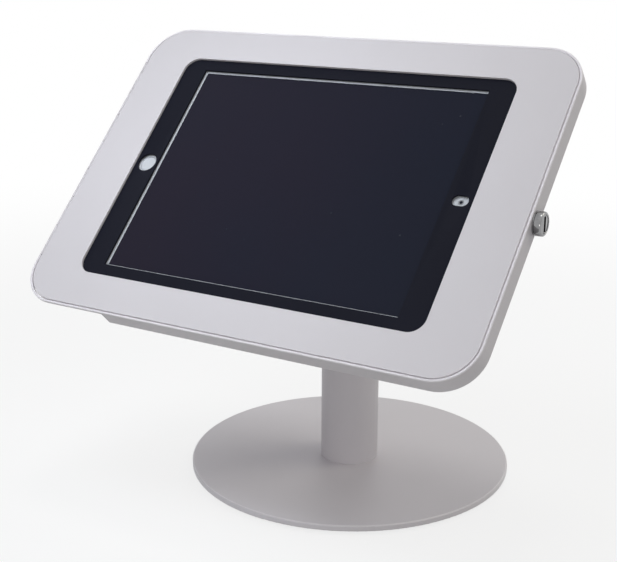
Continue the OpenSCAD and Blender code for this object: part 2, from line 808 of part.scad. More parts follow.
module lock_cam() {
  color(steel) in_case() on_lock(cam_back) linear_extrude(cam_t) difference() {
    union() {
      circle(d = cam_w);
      translate([-cam_w / 2, 0]) square([cam_w, cam_reach - cam_w / 2]);
      translate([0, cam_reach - cam_w / 2]) circle(d = cam_w);
    }
    square(stub_w + 2 * fit_gap, center = true);
  }
}

module cam_screw() {
  color(steel) in_case() on_lock(cam_back - cam_screw_head_h) difference() {
    union() {
      cylinder(d = cam_screw_head_d, h = cam_screw_head_h);
      cylinder(d = cam_screw_d, h = cam_screw_head_h + cam_t + cam_screw_grip);
    }
    cube([cam_screw_head_d + eps, screw_slot_w, 2 * screw_slot_depth], center = true);
  }
}

base_pad();
base_plate();
base_screws();
post_plug();
post_tube();
neck_weld();
neck_flange();
tray();
flange_screws();
hinge_tray_leaf();
hinge_pin();
tray_rivets();
foam_pads();
corner_blocks();
lock_body();
lock_clip();
tablet_shell();
tablet_front();
display_panel();
camera_lens();
home_button();
power_button();
volume_rocker();
faceplate();
bezel_mask();
mask_studs();
mask_nuts();
hinge_door_leaf();
strike_tab();
lock_plug();
lock_cam();
cam_screw();
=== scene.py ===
"""Looks of a desk stand with a locked tablet case: finishes, finer pieces, studio and camera."""
import json
import math

import bmesh
import bpy
from mathutils import Matrix, Vector


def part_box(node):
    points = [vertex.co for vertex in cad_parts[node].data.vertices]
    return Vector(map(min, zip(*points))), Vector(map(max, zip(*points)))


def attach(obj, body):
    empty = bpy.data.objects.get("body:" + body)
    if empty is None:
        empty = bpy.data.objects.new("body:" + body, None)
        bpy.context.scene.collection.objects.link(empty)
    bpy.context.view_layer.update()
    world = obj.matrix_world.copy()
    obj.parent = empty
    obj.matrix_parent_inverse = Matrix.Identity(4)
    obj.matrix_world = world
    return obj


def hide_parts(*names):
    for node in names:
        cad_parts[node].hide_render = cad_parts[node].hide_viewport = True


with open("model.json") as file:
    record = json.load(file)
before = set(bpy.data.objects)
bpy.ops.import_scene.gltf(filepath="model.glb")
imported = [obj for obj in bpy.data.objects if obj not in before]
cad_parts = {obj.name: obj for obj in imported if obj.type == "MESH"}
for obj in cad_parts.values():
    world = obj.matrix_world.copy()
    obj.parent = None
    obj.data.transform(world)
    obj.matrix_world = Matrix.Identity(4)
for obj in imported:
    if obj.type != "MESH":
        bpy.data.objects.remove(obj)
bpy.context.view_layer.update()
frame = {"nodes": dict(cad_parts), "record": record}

MM = 0.001
nodes = frame["nodes"]
slot_of = {part["node"]: part["material_slot"] for part in frame["record"]["subparts"]}


# Places and sizes that several pieces share, in millimetres

def at(x, y, z):
    return Matrix.Translation((x * MM, y * MM, z * MM))


CASE_W, CASE_D = 302, 14
TILT = math.radians(45)
FLANGE_T = 5
KEY_TURN = math.radians(45)
HOME_X, CAMERA_X = -108, 108
CORNERS = [(x, y) for x in (-1, 1) for y in (-1, 1)]
STUDS = [(x * 125, y * 42.375) for x, y in CORNERS] + [(x * 60, y * 89.75) for x, y in CORNERS]

# The case's frame has x across, y up the slope and z out of the front.
# The lock's has x up the slope, y out of the front and z out of the right wall.
CASE = at(0, -73.1856, 206.6856) @ Matrix.Rotation(TILT, 4, "X")
FLANGE = CASE @ at(0, 0, -(CASE_D + FLANGE_T))
LOCK = CASE @ at(CASE_W / 2, -4, -7.8) @ Matrix(
    ((0, 0, 1, 0), (1, 0, 0, 0), (0, 1, 0, 0), (0, 0, 0, 1)))
UPRIGHT = Matrix.Identity(4)


# Finishes

class Value:
    """One output of a node. Sums on it add Math nodes."""

    def __init__(self, finish, socket):
        self.finish = finish
        self.socket = socket

    def __add__(self, other):
        return self.finish.math("ADD", self, other)

    def __radd__(self, other):
        return self.finish.math("ADD", other, self)

    def __sub__(self, other):
        return self.finish.math("SUBTRACT", self, other)

    def __rsub__(self, other):
        return self.finish.math("SUBTRACT", other, self)

    def __mul__(self, other):
        return self.finish.math("MULTIPLY", self, other)

    def __rmul__(self, other):
        return self.finish.math("MULTIPLY", other, self)


class Finish:
    """A material, or the world, that is put together from nodes."""

    def __init__(self, name, world=None):
        self.material = world or bpy.data.materials.new(name)
        self.material.use_nodes = True
        self.tree = self.material.node_tree
        self.tree.nodes.clear()

    def node(self, kind, settings=None, sockets=None, output=0):
        """Adds a node, sets its settings, then its sockets, and gives back one of its outputs."""
        made = self.tree.nodes.new(kind)
        for name, setting in (settings or {}).items():
            if name == "stops":
                ramp = made.color_ramp.elements
                while len(ramp) < len(setting):
                    ramp.new(0.5)
                for stop, (place, colour) in zip(ramp, setting):
                    stop.position = place
                    stop.color = (*colour, 1)
            else:
                setattr(made, name, setting)
        for name, value in (sockets or {}).items():
            if isinstance(value, Value):
                self.tree.links.new(value.socket, made.inputs[name])
            else:
                made.inputs[name].default_value = value
        return Value(self, made.outputs[output]) if made.outputs else None

    def place(self):
        return self.node("ShaderNodeTexCoord", output="Object")

    def turned(self, location=(0, 0, 0), turn=(0, 0, 0), scale=(1, 1, 1)):
        sockets = {"Vector": self.place(), "Location": location, "Rotation": turn, "Scale": scale}
        return self.node("ShaderNodeMapping", {}, sockets)

    def noise(self, scale, detail=2.0, roughness=0.5, at=None):
        """Soft noise from 0 to 1; scale counts its lumps in a metre."""
        sockets = {"Vector": at or self.place(), "Scale": scale,
                   "Detail": detail, "Roughness": roughness}
        return self.node("ShaderNodeTexNoise", {}, sockets, "Fac")

    def cells(self, scale):
        """Distance from the middle of the nearest cell; scale counts cells in a metre."""
        sockets = {"Vector": self.place(), "Scale": scale}
        return self.node("ShaderNodeTexVoronoi", {"feature": "F1"}, sockets, "Distance")

    def math(self, operation, *values):
        return self.node("ShaderNodeMath", {"operation": operation}, dict(enumerate(values)))

    def axis(self, vector, name):
        return self.node("ShaderNodeSeparateXYZ", {}, {0: vector}, name)

    def length(self, vector):
        return self.node("ShaderNodeVectorMath", {"operation": "LENGTH"}, {0: vector}, "Value")

    def step(self, value, low, high, start=0, end=1, kind="SMOOTHSTEP"):
        """Goes from start to end while the value goes from low to high."""
        sockets = {"Value": value, "From Min": low, "From Max": high, "To Min": start, "To Max": end}
        return self.node("ShaderNodeMapRange", {"interpolation_type": kind}, sockets, "Result")

    def ramp(self, value, *stops):
        return self.node("ShaderNodeValToRGB", {"stops": stops}, {"Fac": value}, "Color")

    def bump(self, height, depth, strength=1.0):
        """Bumps whose depth is in millimetres."""
        sockets = {"Height": height, "Distance": depth * MM, "Strength": strength}
        return self.node("ShaderNodeBump", {}, sockets)

    def mixed(self, share, first, second):
        return self.node("ShaderNodeMixShader", {}, {"Fac": share, 1: first, 2: second})

    def shader(self, **sockets):
        """Ends the material in a Principled shader; socket names have _ for a space."""
        plain = {name.replace("_", " "): value for name, value in sockets.items()}
        surface = self.node("ShaderNodeBsdfPrincipled", {}, plain, "BSDF")
        self.node("ShaderNodeOutputMaterial", {}, {"Surface": surface})
        return self.material


COAT = (0.670, 0.641, 0.668)
# Millimetres out of the front for a metre of z - y, and the rim's plane on that scale
FRONT_SLOPE, RIM_LEVEL = 707.107, 197.9
# Radii between which the base plate gets a painted highlight along its edge, in metres
BASE_EDGE = 0.1048, 0.1055


def out_of_rim(f):
    """Height over the plane of the tray's rim, in millimetres."""
    y, z = [f.axis(f.place(), name) for name in "YZ"]
    return FRONT_SLOPE * (z - y) - RIM_LEVEL


def rim_crest(f):
    """1 on the crest of the tray's rim, where the coat gets a painted highlight."""
    return f.step(out_of_rim(f), -1.2, -0.5)


def plate_edges(f):
    """1 on the rolled edges of the faceplate and of its window, where the coat gets a painted highlight.
    """
    height = out_of_rim(f)
    return f.step(height, -0.6, -0.35) * (1 - f.step(height, 0.1, 0.27))


def base_edge(f):
    """1 along the outer edge of the base plate, where the coat gets a painted highlight."""
    flat = f.node("ShaderNodeVectorMath", {"operation": "MULTIPLY"}, {0: f.place(), 1: (1, 1, 0)})
    return f.step(f.length(flat), *BASE_EDGE)


def powder_coat(name, highlight_mask=None):
    """Satin light grey powder coat with fine orange peel; where a highlight mask is given, a painted
    highlight makes it lighter and smoother there.
    """
    f = Finish(name)
    cloud = f.noise(scale=9, detail=3)
    peel = f.noise(scale=1300, detail=2, roughness=0.45)
    fleck = f.noise(scale=5200, detail=1)
    tone = 0.75 * cloud + 0.25 * fleck
    sheen = 0.40 + 0.10 * cloud
    if highlight_mask:
        # Painted highlight: the masked edges are made lighter, unevenly, standing in for light caught on
        # rounded edges.
        painted_highlight = highlight_mask(f) * (0.7 + 0.5 * f.noise(scale=60, detail=3))
        tone = tone + 0.6 * painted_highlight
        sheen = sheen - 0.12 * painted_highlight
    dark, light, bright = [[min(1, share * c) for c in COAT] for share in (0.965, 1.03, 1.22)]
    colour = f.ramp(tone, (0.3, dark), (0.7, light), (1.0, bright))
    skin = f.bump(peel + 0.2 * fleck, 0.03, 0.22)
    return f.shader(Base_Color=colour, Roughness=sheen, Normal=skin, Specular_IOR_Level=0.4)


def zinc_plate():
    """Zinc plated steel, drawn lengthwise and slightly cloudy."""
    f = Finish("zinc_plate")
    cloud = f.noise(scale=60, detail=3)
    drawn = f.noise(scale=700, detail=3, roughness=0.6, at=f.turned(scale=(0.04, 1, 1)))
    dark, light = (0.42, 0.43, 0.45), (0.60, 0.61, 0.62)
    colour = f.ramp(0.6 * cloud + 0.4 * drawn, (0.3, dark), (0.7, light))
    skin = f.bump(drawn, 0.02, 0.4)
    return f.shader(Base_Color=colour, Metallic=1.0, Roughness=0.28 + 0.16 * drawn, Normal=skin)


def bright_chrome():
    """Bright chrome with faint smudges and hairlines."""
    f = Finish("bright_chrome")
    smudge = f.noise(scale=240, detail=4, roughness=0.6)
    hair = f.noise(scale=2600, detail=2, roughness=0.5, at=f.turned(scale=(1, 0.06, 0.06)))
    colour = f.ramp(smudge, (0.25, (0.20, 0.20, 0.205)), (0.75, (0.33, 0.33, 0.335)))
    skin = f.bump(hair, 0.01, 0.15)
    return f.shader(Base_Color=colour, Metallic=1.0, Roughness=0.06 + 0.09 * smudge, Normal=skin)


def slotted_chrome():
    """The plug's chrome, with painted shade: black inside its key slot and along the slot's edges."""
    shade_length, shade_width = 8.5, 2.7
    f = Finish("slotted_chrome")
    smudge = f.noise(scale=240, detail=4, roughness=0.6)
    place, turn, _ = (LOCK @ Matrix.Rotation(KEY_TURN, 4, "Z")).decompose()
    sockets = {"Vector": f.place(), "Location": place, "Rotation": turn.to_euler(), "Scale": (1, 1, 1)}
    local = f.node("ShaderNodeMapping", {"vector_type": "TEXTURE"}, sockets)

    def within(name, size):
        return f.math("LESS_THAN", f.math("ABSOLUTE", f.axis(local, name)), size / 2 * MM)

    # Painted shade: the key slot and a band round it are turned black and matt, standing in for the
    # shade inside the slot.
    slot = within("X", shade_length) * within("Y", shade_width)
    colour = f.ramp(slot + 0.1 * smudge, (0.02, (0.24, 0.24, 0.245)), (0.12, (0.36, 0.36, 0.365)),
                    (0.9, (0.004, 0.004, 0.005)))
    sheen = 0.06 + 0.09 * smudge + 0.5 * slot
    return f.shader(Base_Color=colour, Metallic=1 - slot, Roughness=sheen, Specular_IOR_Level=0.1)


def black_sheet():
    """Satin black sheet with a fine grain."""
    f = Finish("black_sheet")
    cloud = f.noise(scale=14, detail=3)
    grain = f.noise(scale=2400, detail=2)
    dark, light = (0.0044, 0.0050, 0.0110), (0.0074, 0.0080, 0.0150)
    colour = f.ramp(0.7 * cloud + 0.3 * grain, (0.3, dark), (0.7, light))
    skin = f.bump(grain, 0.03, 0.22)
    return f.shader(Base_Color=colour, Roughness=0.46 + 0.14 * cloud, Normal=skin,
                    Specular_IOR_Level=0.08)


def moulded_black():
    """Moulded black plastic with a spark-eroded grain."""
    f = Finish("moulded_black")
    grain = f.noise(scale=1500, detail=3, roughness=0.6)
    colour = f.ramp(grain, (0.3, (0.012, 0.012, 0.014)), (0.7, (0.022, 0.022, 0.025)))
    return f.shader(Base_Color=colour, Roughness=0.5 + 0.15 * grain, Normal=f.bump(grain, 0.06, 0.5))


def grip_rubber():
    """Matt rubber with a dusty bloom."""
    f = Finish("grip_rubber")
    bloom = f.noise(scale=45, detail=4, roughness=0.6)
    pores = f.noise(scale=1800, detail=2)
    colour = f.ramp(bloom, (0.3, (0.016, 0.016, 0.017)), (0.75, (0.036, 0.036, 0.038)))
    return f.shader(Base_Color=colour, Roughness=0.78 + 0.14 * bloom, Normal=f.bump(pores, 0.1, 0.5))


def cell_foam():
    """Closed cell foam with open pores on its cut faces."""
    f = Finish("cell_foam")
    cells = f.cells(scale=1400)
    cloud = f.noise(scale=120, detail=3)
    dark, light = (0.030, 0.030, 0.033), (0.070, 0.070, 0.076)
    colour = f.ramp(0.6 * cells + 0.4 * cloud, (0.2, dark), (0.7, light))
    return f.shader(Base_Color=colour, Roughness=0.85 + 0.1 * cloud, Normal=f.bump(1 - cells, 0.3, 0.6))


def blasted_alloy():
    """Bead blasted, anodised aluminium."""
    f = Finish("blasted_alloy")
    grit = f.noise(scale=3200, detail=2, roughness=0.6)
    cloud = f.noise(scale=18, detail=2)
    dark, light = (0.52, 0.53, 0.55), (0.64, 0.65, 0.67)
    colour = f.ramp(0.5 * grit + 0.5 * cloud, (0.3, dark), (0.7, light))
    skin = f.bump(grit, 0.02, 0.5)
    return f.shader(Base_Color=colour, Metallic=1.0, Roughness=0.36 + 0.10 * grit, Normal=skin)


def white_glass():
    """White print under gloss glass."""
    f = Finish("white_glass")
    smudge = f.noise(scale=55, detail=4, roughness=0.6)
    cloud = f.noise(scale=12, detail=2)
    colour = f.ramp(cloud, (0.3, (0.60, 0.62, 0.66)), (0.7, (0.65, 0.67, 0.71)))
    return f.shader(Base_Color=colour, Roughness=0.05 + 0.10 * smudge, Specular_IOR_Level=0.4)


def dark_display():
    """Switched-off display under gloss glass with wipe marks and specks of dust; a painted reflection
    makes it bluer to the right.
    """
    f = Finish("dark_display")
    wiped = f.turned(turn=(0.4, 0.2, 0.5), scale=(1, 0.35, 1))
    wipe = f.noise(scale=16, detail=5, roughness=0.6, at=wiped)
    cloud = f.noise(scale=6, detail=2)
    dust = f.step(f.cells(scale=75) + 0.05 * wipe, 0.03, 0.09, start=1, end=0, kind="LINEAR")
    across = f.axis(f.place(), "X")
    # Painted reflection: the colour shifts from the left tint to the right tint across the screen.
    tone = 0.22 + 1.3 * across + 0.35 * cloud + 0.2 * wipe
    left, right, speck = (0.0136, 0.0112, 0.0228), (0.0088, 0.0118, 0.0240), (0.040, 0.040, 0.050)
    colour = f.ramp(tone + 0.5 * dust, (0.32, left), (0.66, right), (1.0, speck))
    sheen = 0.08 + 0.14 * wipe + 0.2 * dust
    return f.shader(Base_Color=colour, Roughness=sheen, Specular_IOR_Level=0.08)


def camera_glass():
    """Dark lens with a bluish ring of coating, in a pale seat."""
    f = Finish("camera_glass")
    low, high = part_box("camera_lens")
    middle = [-(a + b) / 2 for a, b in zip(low, high)]
    mottle = f.noise(scale=900, detail=2)
    rings = 620 * f.length(f.turned(middle)) + 0.1 * mottle
    colour = f.ramp(rings, (0.15, (0.004, 0.004, 0.006)), (0.45, (0.012, 0.014, 0.030)),
                    (0.66, (0.006, 0.006, 0.008)), (0.78, (0.34, 0.35, 0.37)))
    return f.shader(Base_Color=colour, Roughness=0.04 + 0.04 * mottle, Specular_IOR_Level=0.12)


finishes = {
    "coat": powder_coat("powder_coat"),
    "steel": zinc_plate(),
    "chrome": bright_chrome(),
    "black_plastic": black_sheet(),
    "rubber": grip_rubber(),
    "foam": cell_foam(),
    "alloy": blasted_alloy(),
    "white_glass": white_glass(),
    "display": dark_display(),
    "lens": camera_glass(),
}
own_finishes = {
    "corner_blocks": moulded_black(),
    # The tray, base plate and faceplate coats carry painted highlights on their edges.
    "tray": powder_coat("rim_coat", rim_crest),
    "base_plate": powder_coat("base_coat", base_edge),
    "faceplate": powder_coat("plate_coat", plate_edges),
    "lock_plug": slotted_chrome(),
}


def finish_of(node):
    return own_finishes.get(node) or finishes[slot_of[node]]


def dress(piece, finish):
    piece.data.materials.clear()
    piece.data.materials.append(finish)


for name, piece in nodes.items():
    dress(piece, finish_of(name))


# Tools for the finer pieces, with lengths in millimetres

def deselect():
    bpy.ops.object.select_all(action="DESELECT")


def activate(piece):
    deselect()
    piece.select_set(True)
    bpy.context.view_layer.objects.active = piece


def begin(name):
    """Names the piece at hand and opens it for editing, all selected."""
    piece = bpy.context.object
    piece.name = name
    piece.data.name = name
    bpy.ops.object.mode_set(mode="EDIT")
    bpy.ops.mesh.select_mode(type="VERT")
    bpy.ops.mesh.select_all(action="SELECT")
    return piece


def close(piece):
    bpy.ops.object.mode_set(mode="OBJECT")
    activate(piece)


def keep_place():
    """Moves the place of the piece at hand into its mesh."""
    bpy.ops.object.transform_apply(location=True, rotation=True, scale=True)


def shift(x, y, z):
    bpy.ops.transform.translate(value=(x * MM, y * MM, z * MM))


def extrude(x, y, z):
    bpy.ops.mesh.extrude_region_move(TRANSFORM_OT_translate={"value": (x * MM, y * MM, z * MM)})


def all_points(part, test):
    """True if every point of an edge or a face passes the test, in millimetres."""
    return all(test(v.co / MM) for v in part.verts)


def pick(what, test):
    """Selects the edges or the faces of the open piece that pass the test."""
    bpy.ops.mesh.select_mode(type=what)
    bpy.ops.mesh.select_all(action="DESELECT")
    skin = bpy.context.object.data
    mesh = bmesh.from_edit_mesh(skin)
    for part in {"EDGE": mesh.edges, "FACE": mesh.faces}[what]:
        part.select_set(test(part))
    mesh.select_flush_mode()
    bmesh.update_edit_mesh(skin)


def round_sharp_edges(radius, segments=3, angle=50, where=None):
    """Bevels the sharp edges of the open piece, or only those whose ends pass the test."""
    bpy.ops.mesh.select_mode(type="EDGE")
    bpy.ops.mesh.select_all(action="DESELECT")
    bpy.ops.mesh.edges_select_sharp(sharpness=math.radians(angle))
    if where:
        skin = bpy.context.object.data
        mesh = bmesh.from_edit_mesh(skin)
        for edge in mesh.edges:
            if edge.select and not all_points(edge, where):
                edge.select_set(False)
        bmesh.update_edit_mesh(skin)
    bpy.ops.mesh.bevel(offset=radius * MM, segments=segments, affect="EDGES", clamp_overlap=True)


def tidy_skin():
    """Merges doubled points and turns the faces of the open piece outwards."""
    bpy.ops.mesh.select_all(action="SELECT")
    bpy.ops.mesh.remove_doubles(threshold=0.002 * MM)
    bpy.ops.mesh.normals_make_consistent(inside=False)


def outline(width, height, corner, level):
    """Adds a flat rounded rectangle to the open piece, or starts one, and leaves it selected."""
    corner_steps = 14
    bpy.ops.mesh.primitive_plane_add(size=1, location=(0, 0, level * MM))
    if bpy.context.mode != "EDIT_MESH":
        begin("outline")
    bpy.ops.transform.resize(value=(width * MM, height * MM, 1), center_override=(0, 0, level * MM))
    bpy.ops.mesh.bevel(offset=corner * MM, segments=corner_steps, affect="VERTICES")


def slab(name, width, height, corner, low, thickness, up=0):
    """Rounded plate, moved up the slope where that is given, and left open."""
    deselect()
    outline(width, height, corner, low)
    piece = begin(name)
    if up:
        shift(0, up, 0)
    extrude(0, 0, thickness)
    tidy_skin()
    return piece


def line(name, points):
    """Line through the points, left open with all of it selected."""
    deselect()
    bpy.ops.mesh.primitive_plane_add(size=MM)
    piece = begin(name)
    bpy.ops.mesh.merge(type="CENTER")
    bpy.ops.mesh.select_all(action="SELECT")
    shift(*points[0])
    for here, there in zip(points, points[1:]):
        extrude(*[b - a for a, b in zip(here, there)])
    bpy.ops.mesh.select_all(action="SELECT")
    return piece


def spun(name, profile, steps=96):
    """Turns a profile of (radius, height) points round the z axis; the piece is left open."""
    piece = line(name, [(radius, 0, height) for radius, height in profile])
    bpy.ops.mesh.spin(steps=steps, angle=2 * math.pi, center=(0, 0, 0), axis=(0, 0, 1))
    tidy_skin()
    return piece


def rod(x, y, diameter, low, high, sides=64):
    """Upright round rod, closed."""
    deselect()
    bpy.ops.mesh.primitive_cylinder_add(
        vertices=sides, radius=diameter / 2 * MM, depth=(high - low) * MM,
        location=(x * MM, y * MM, (low + high) / 2 * MM))
    keep_place()
    return bpy.context.object


def block(x, y, w, h, low, high, corner=0):
    """Upright block, closed, with rounded upright edges where a corner radius is given."""
    corner_steps = 20
    deselect()
    bpy.ops.mesh.primitive_cube_add(
        size=1, location=(x * MM, y * MM, (low + high) / 2 * MM),
        scale=(w * MM, h * MM, (high - low) * MM))
    keep_place()
    piece = bpy.context.object
    if corner:
        begin("block")

        def upright(edge):
            a, b = edge.verts
            return abs(a.co.z - b.co.z) > (high - low) / 2 * MM

        pick("EDGE", upright)
        bpy.ops.mesh.bevel(offset=corner * MM, segments=corner_steps, affect="EDGES")
        close(piece)
    return piece


def turn_upright(piece, angle):
    """Turns a closed piece round the z axis."""
    activate(piece)
    piece.matrix_world = Matrix.Rotation(angle, 4, "Z")
    keep_place()


def apply_all(piece):
    for name in [m.name for m in piece.modifiers]:
        bpy.ops.object.modifier_apply(modifier=name)


def cut(piece, *cutters):
    """Cuts the closed cutters out of the closed piece and removes them."""
    for cutter in cutters:
        hole = piece.modifiers.new("hole", "BOOLEAN")
        hole.object = cutter
        hole.solver = "EXACT"
        activate(piece)
        bpy.ops.object.modifier_apply(modifier=hole.name)
        bpy.data.objects.remove(cutter)


def copies_at(places):
    """Puts the one item of the open piece, which stands on the origin, at each of the places."""
    bpy.ops.mesh.select_all(action="SELECT")
    here = Vector((0, 0, 0))
    for i, place in enumerate(places):
        if i:
            bpy.ops.mesh.duplicate()
        bpy.ops.transform.translate(value=(Vector(place) - here) * MM)
        here = Vector(place)


def settle(piece, own_frame, body, slot, *stands_for):
    """Moves a finished piece to its place, dresses it and gives it to its body."""
    smooth_angle = math.radians(35)
    if bpy.context.mode == "EDIT_MESH":
        bpy.ops.object.mode_set(mode="OBJECT")
    activate(piece)
    piece.matrix_world = own_frame @ piece.matrix_world
    keep_place()
    bpy.ops.object.shade_smooth_by_angle(angle=smooth_angle)
    dress(piece, finish_of(stands_for[0]))
    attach(piece, body)
    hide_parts(*stands_for)


# Finer pieces

def make_faceplate():
    """The door's plate: two rounded outlines bridged and thickened, with rolled edges.

    A low step runs round its rim.
    """
    top, thickness, to_the_right = 0.3, 1.5, 0.3
    step_level, step_out, roll = -0.55, 0.25, 0.9
    past_window_x, past_window_y = 118, 85
    deselect()
    outline(width=297.6, height=211.2, corner=23.1, level=top)
    piece = begin("faceplate_panel")
    shift(to_the_right, 0, 0)
    bpy.ops.mesh.delete(type="ONLY_FACE")
    outline(width=232.5, height=166.5, corner=9.5, level=top)
    bpy.ops.mesh.delete(type="ONLY_FACE")
    bpy.ops.mesh.select_all(action="SELECT")
    bpy.ops.mesh.bridge_edge_loops()
    bpy.ops.mesh.select_all(action="SELECT")
    extrude(0, 0, -thickness)
    tidy_skin()
    bpy.ops.mesh.bisect(plane_co=(0, 0, step_level * MM), plane_no=(0, 0, 1))

    def on_outer_edge(p):
        return p.z < -0.5 and (abs(p.x) > past_window_x or abs(p.y) > past_window_y)

    pick("FACE", lambda face: all_points(face, on_outer_edge) and abs(face.normal.z) < 0.1)
    bpy.ops.mesh.extrude_region_shrink_fatten(TRANSFORM_OT_shrink_fatten={"value": step_out * MM})
    round_sharp_edges(roll, 6, where=lambda p: p.z > 0)
    settle(piece, CASE, "door", "coat", "faceplate")


def make_bezel_mask():
    """Black sheet behind the window; the edges of its openings are broken."""
    name, through = "bezel_sheet", (-4, 0)
    screen_x, screen_w, screen_h = -0.3, 199.4, 150.4
    camera_w, camera_h, camera_corner = 10, 7, 3.49
    home_d, stud_d = 13, 3.2
    piece = slab(name, width=260, height=189.5, corner=12, low=-2.4, thickness=1.2)
    close(piece)
    cut(piece, block(screen_x, 0, screen_w, screen_h, *through), rod(HOME_X, 0, home_d, *through),
        block(CAMERA_X, 0, camera_w, camera_h, *through, camera_corner),
        *[rod(x, y, stud_d, *through) for x, y in STUDS])
    begin(name)
    round_sharp_edges(0.35, where=lambda p: p.z > -1.3 and abs(p.x) < 115 and abs(p.y) < 80)
    settle(piece, CASE, "door", "black_plastic", "bezel_mask")


def make_home_button():
    """Dished round button whose chamfer leaves a fine seam in the glass, with its hidden flange."""
    dish = [(0, -3.35), (1.6, -3.33), (3.0, -3.27), (4.1, -3.18), (4.75, -3.1)]
    chamfer = [(4.95, -3.1), (5.12, -3.17), (5.25, -3.33), (5.3, -3.6)]
    flange = [(5.3, -4.4), (5.9, -4.4), (5.9, -5.0), (0, -5.0)]
    piece = spun("dished_key", dish + chamfer + flange, 72)
    bpy.ops.mesh.select_all(action="SELECT")
    shift(HOME_X, 0, 0)
    settle(piece, CASE, "home_key", "white_glass", "home_button")


def make_mask_nuts():
    """Push nuts with six sprung petals, one modelled and the rest copied."""
    name = "push_nuts"
    petals = [(1.62, -2.96), (1.78, -3.0), (2.35, -2.76)]
    washer = [(3.2, -2.76), (3.5, -2.62), (3.5, -2.4), (2.3, -2.4), (1.62, -2.7), (1.62, -2.96)]
    slot_l, slot_w = 4.9, 0.4
    piece = spun(name, petals + washer, 48)
    close(piece)
    slots = [block(0, 0, slot_l, slot_w, -3.5, -2) for _ in range(3)]
    for i, slot in enumerate(slots):
        turn_upright(slot, math.radians(60 * i))
    cut(piece, *slots)
    begin(name)
    copies_at([(x, y, 0) for x, y in STUDS])
    settle(piece, CASE, "door", "steel", "mask_nuts")


def make_corner_blocks():
    """Four moulded corners with softened edges, cut from one frame."""
    name, through = "corner_cushions", (-14, 0)
    tablet_w, tablet_h, tablet_corner = 240.6, 170.1, 11.3
    gap_across, gap_up, past = 196, 125.5, (270, 200)
    piece = slab(name, width=252, height=181.5, corner=17, low=-12.5, thickness=9.8)
    close(piece)
    cut(piece, block(0, 0, tablet_w, tablet_h, *through, tablet_corner),
        block(0, 0, gap_across, past[1], *through), block(0, 0, past[0], gap_up, *through))
    begin(name)
    round_sharp_edges(0.7, angle=40, where=lambda p: p.z > -12)
    settle(piece, CASE, "stand", "black_plastic", "corner_blocks")


def make_strike_tab():
    """Catch on the door: a strip folded twice round bends of 1 mm, then thickened."""
    side, length, sheet_t, edge_r = -0.7, 11, 1.2, 0.15
    path = [(143.6, -1.8)]
    for x, z, start in ((136.2, -2.8, 90), (136.2, -10.4, 180)):
        turns = [math.radians(start + 15 * i) for i in range(7)]
        path += [(x + math.cos(turn), z + math.sin(turn)) for turn in turns]
    path += [(138.25, -11.4)]
    piece = line("folded_catch", [(x, side, z) for x, z in path])
    extrude(0, length, 0)
    tidy_skin()
    close(piece)
    sheet = piece.modifiers.new("sheet", "SOLIDIFY")
    sheet.thickness = sheet_t * MM
    sheet.offset = 0
    edges = piece.modifiers.new("edges", "BEVEL")
    edges.width = edge_r * MM
    edges.segments = 2
    edges.limit_method = "ANGLE"
    edges.angle_limit = math.radians(50)
    apply_all(piece)
    settle(piece, CASE, "door", "steel", "strike_tab")


def make_lock_cam():
    """Stamped cam with a square hole and rolled edges."""
    hole = 3.2
    piece = slab("stamped_cam", width=5.4, height=8.7, corner=2.69, low=-13.5, thickness=1.5, up=1.65)
    round_sharp_edges(0.25)
    close(piece)
    cut(piece, block(0, 0, hole, hole, -15, -11))
    settle(piece, LOCK, "lock_barrel", "steel", "lock_cam")


def make_lock_body():
    """Turned lock body: a head with a collar and a seat for the plug, and a grooved barrel."""
    seat = [(3.3, 0.9), (5.05, 0.9), (5.05, 4.8), (5.2, 5.0)]
    head = [(5.65, 5.0), (6.05, 4.93), (6.4, 4.7), (6.62, 4.35), (6.7, 3.9), (6.7, 1.5)]
    collar = [(6.35, 1.3), (6.35, 1.0), (6.75, 0.8), (6.75, 0), (4.25, 0)]
    groove = [(4.25, -1.5), (3.75, -1.5), (3.75, -2.8), (4.25, -2.8)]
    end = [(4.25, -11.7), (4.0, -12), (3.3, -12), (3.3, 0.9)]
    piece = spun("lock_barrel_head", seat + head + collar + groove + end)
    settle(piece, LOCK, "stand", "chrome", "lock_body")


def make_lock_plug():
    """Turned plug with a wide face, a key slot, a warded keyway and a square end for the cam."""
    face = [(0, 4.8), (4.6, 4.8), (4.87, 4.7), (5, 4.45), (5, 1)]
    shank = [(3.25, 1), (3.25, -12), (0, -12)]
    square, square_end = 3, (-13.5, -11.9)
    slot_l, slot_w, slot_corner, slot_deep, keyway_deep = 8, 2, 0.6, (1.8, 7), (-4.2, 5)
    wards = ((0, 0, 4.6, 1), (0.7, 0.45, 1.2, 0.7), (-1.1, -0.45, 0.9, 0.7))
    piece = spun("lock_key_plug", face + shank)
    close(piece)
    block(0, 0, square, square, *square_end)
    stub = begin("stub")
    round_sharp_edges(0.2, 2)
    close(stub)
    cutters = [block(0, 0, slot_l, slot_w, *slot_deep, slot_corner)]
    cutters += [block(*ward, *keyway_deep) for ward in wards]
    for cutter in cutters:
        turn_upright(cutter, KEY_TURN)
    cut(piece, *cutters)
    activate(piece)
    stub.select_set(True)
    bpy.ops.object.join()
    settle(piece, LOCK, "lock_barrel", "chrome", "lock_plug")


